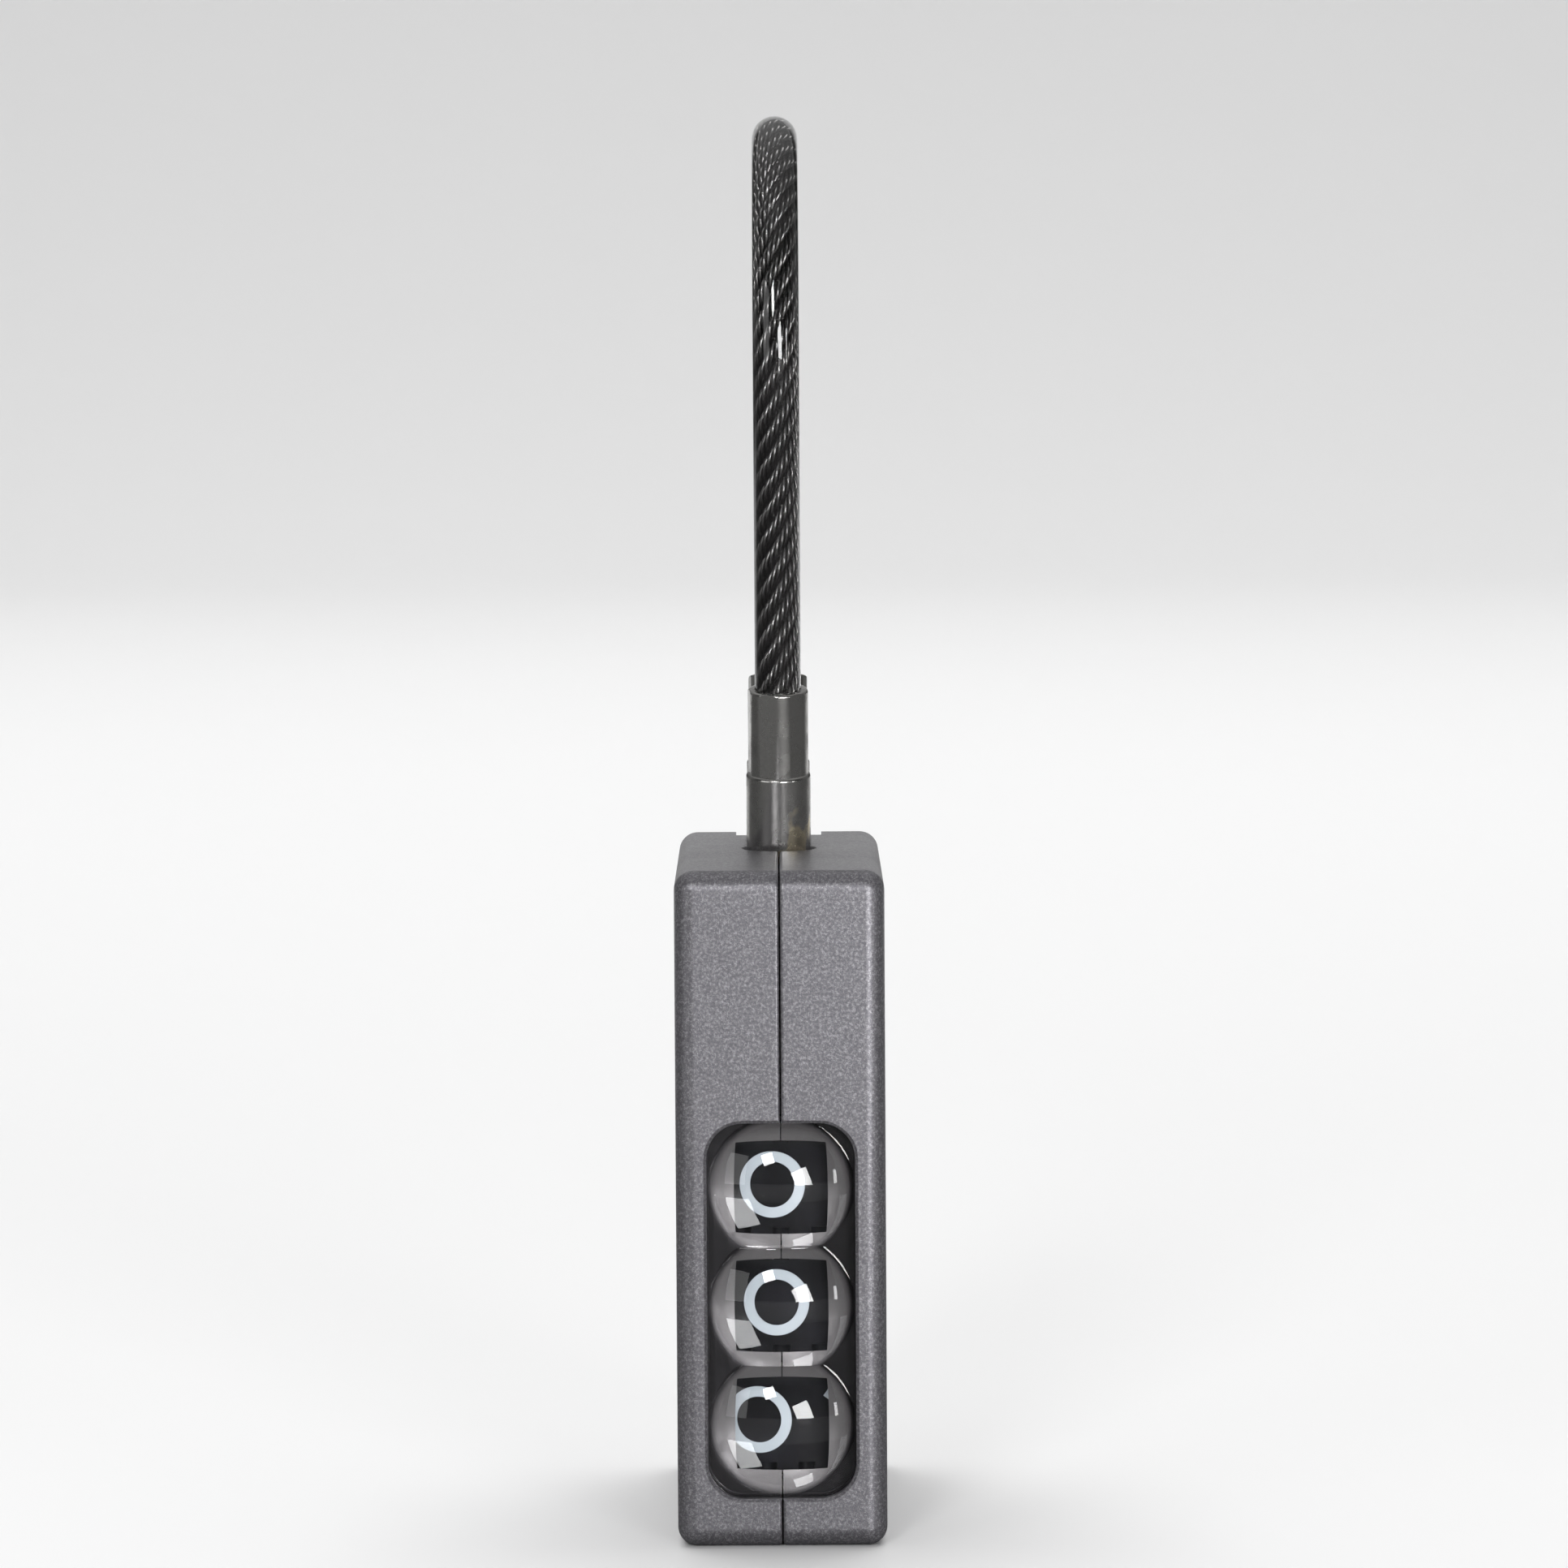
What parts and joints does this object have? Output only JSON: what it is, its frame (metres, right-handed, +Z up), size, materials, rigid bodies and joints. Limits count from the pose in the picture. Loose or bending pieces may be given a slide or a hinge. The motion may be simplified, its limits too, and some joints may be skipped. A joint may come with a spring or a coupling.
{
  "type": "cable lock",
  "caption": "Compact combination lock with a numbered dial column under a magnifier and a flexible wire-rope loop out of its top.",
  "frame": {"origin": "middle of the underside of the case", "axes": "+Z up towards the cable loop, -Y out of the edge with the dial window, +X across the narrow edge"},
  "size_m": [0.014, 0.0387, 0.0955],
  "materials": {
    "case_paint": "satin metallic paint",
    "clear_acrylic": "clear moulded acrylic",
    "dial_black": "black with white numbers",
    "nickel_plate": "nickel over brass, worn",
    "hard_steel": "turned steel",
    "spring_steel": "drawn wire and strip",
    "core_brass": "machined",
    "natural_nylon": "moulded",
    "clear_jacket": "smoke-clear jacket over dark wire rope"
  },
  "bodies": {
    "case": {"housing_left": "case_paint", "housing_right": "case_paint", "case_rivets": "case_paint", "magnifier_strip": "clear_acrylic", "dial_spacers": "natural_nylon", "detent_spring": "spring_steel", "spindle_spring": "spring_steel", "latch_spring": "spring_steel", "anchor_pin": "hard_steel", "anchor_ferrule": "nickel_plate", "cable": "clear_jacket", "core_sleeve": "nickel_plate", "reset_spring": "spring_steel"},
    "dial_lower": {"dial_lower": "dial_black", "clutch_sleeve_lower": "hard_steel"},
    "dial_middle": {"dial_middle": "dial_black", "clutch_sleeve_middle": "hard_steel"},
    "dial_upper": {"dial_upper": "dial_black", "clutch_sleeve_upper": "hard_steel"},
    "spindle": {"spindle": "hard_steel"},
    "latch": {"latch_plate": "hard_steel"},
    "plug": {"plug_pin": "hard_steel", "plug_ferrule": "nickel_plate"},
    "key": {"key_core": "core_brass", "key_wafers": "core_brass", "key_cam": "hard_steel", "core_clip": "spring_steel"},
    "reset": {"reset_plunger": "natural_nylon"}
  },
  "joints": [
    {"name": "dial_lower_turn", "type": "hinge", "parent": "case", "child": "dial_lower", "pos_m": [0, -0.0067, 0.0081], "axis": [0, 0, 1], "continuous": true},
    {"name": "dial_middle_turn", "type": "hinge", "parent": "case", "child": "dial_middle", "pos_m": [0, -0.0067, 0.01605], "axis": [0, 0, 1], "continuous": true},
    {"name": "dial_upper_turn", "type": "hinge", "parent": "case", "child": "dial_upper", "pos_m": [0, -0.0067, 0.024], "axis": [0, 0, 1], "continuous": true},
    {"name": "spindle_shift", "type": "slide", "parent": "case", "child": "spindle", "axis": [0, 0, 1], "range_m": [0, 0.002], "deforming": ["spindle_spring"]},
    {"name": "latch_shift", "type": "slide", "parent": "case", "child": "latch", "axis": [0, -1, 0], "range_m": [0, 0.0008], "deforming": ["latch_spring"]},
    {"name": "plug_pull", "type": "slide", "parent": "case", "child": "plug", "axis": [0, -0.1736, 0.9848], "range_m": [0, 0.012], "deforming": ["cable"]},
    {"name": "key_turn", "type": "hinge", "parent": "case", "child": "key", "pos_m": [0, 0.009, 0.015], "axis": [1, 0, 0], "range_deg": [-90, 0]},
    {"name": "reset_press", "type": "slide", "parent": "case", "child": "reset", "axis": [0, 0, 1], "range_m": [0, 0.0008], "stiffness_N_per_m": 300, "deforming": ["reset_spring"]}
  ],
  "couplings": [
    {"joint": "latch_shift", "follows": "spindle_shift", "ratio": 0.4}
  ]
}
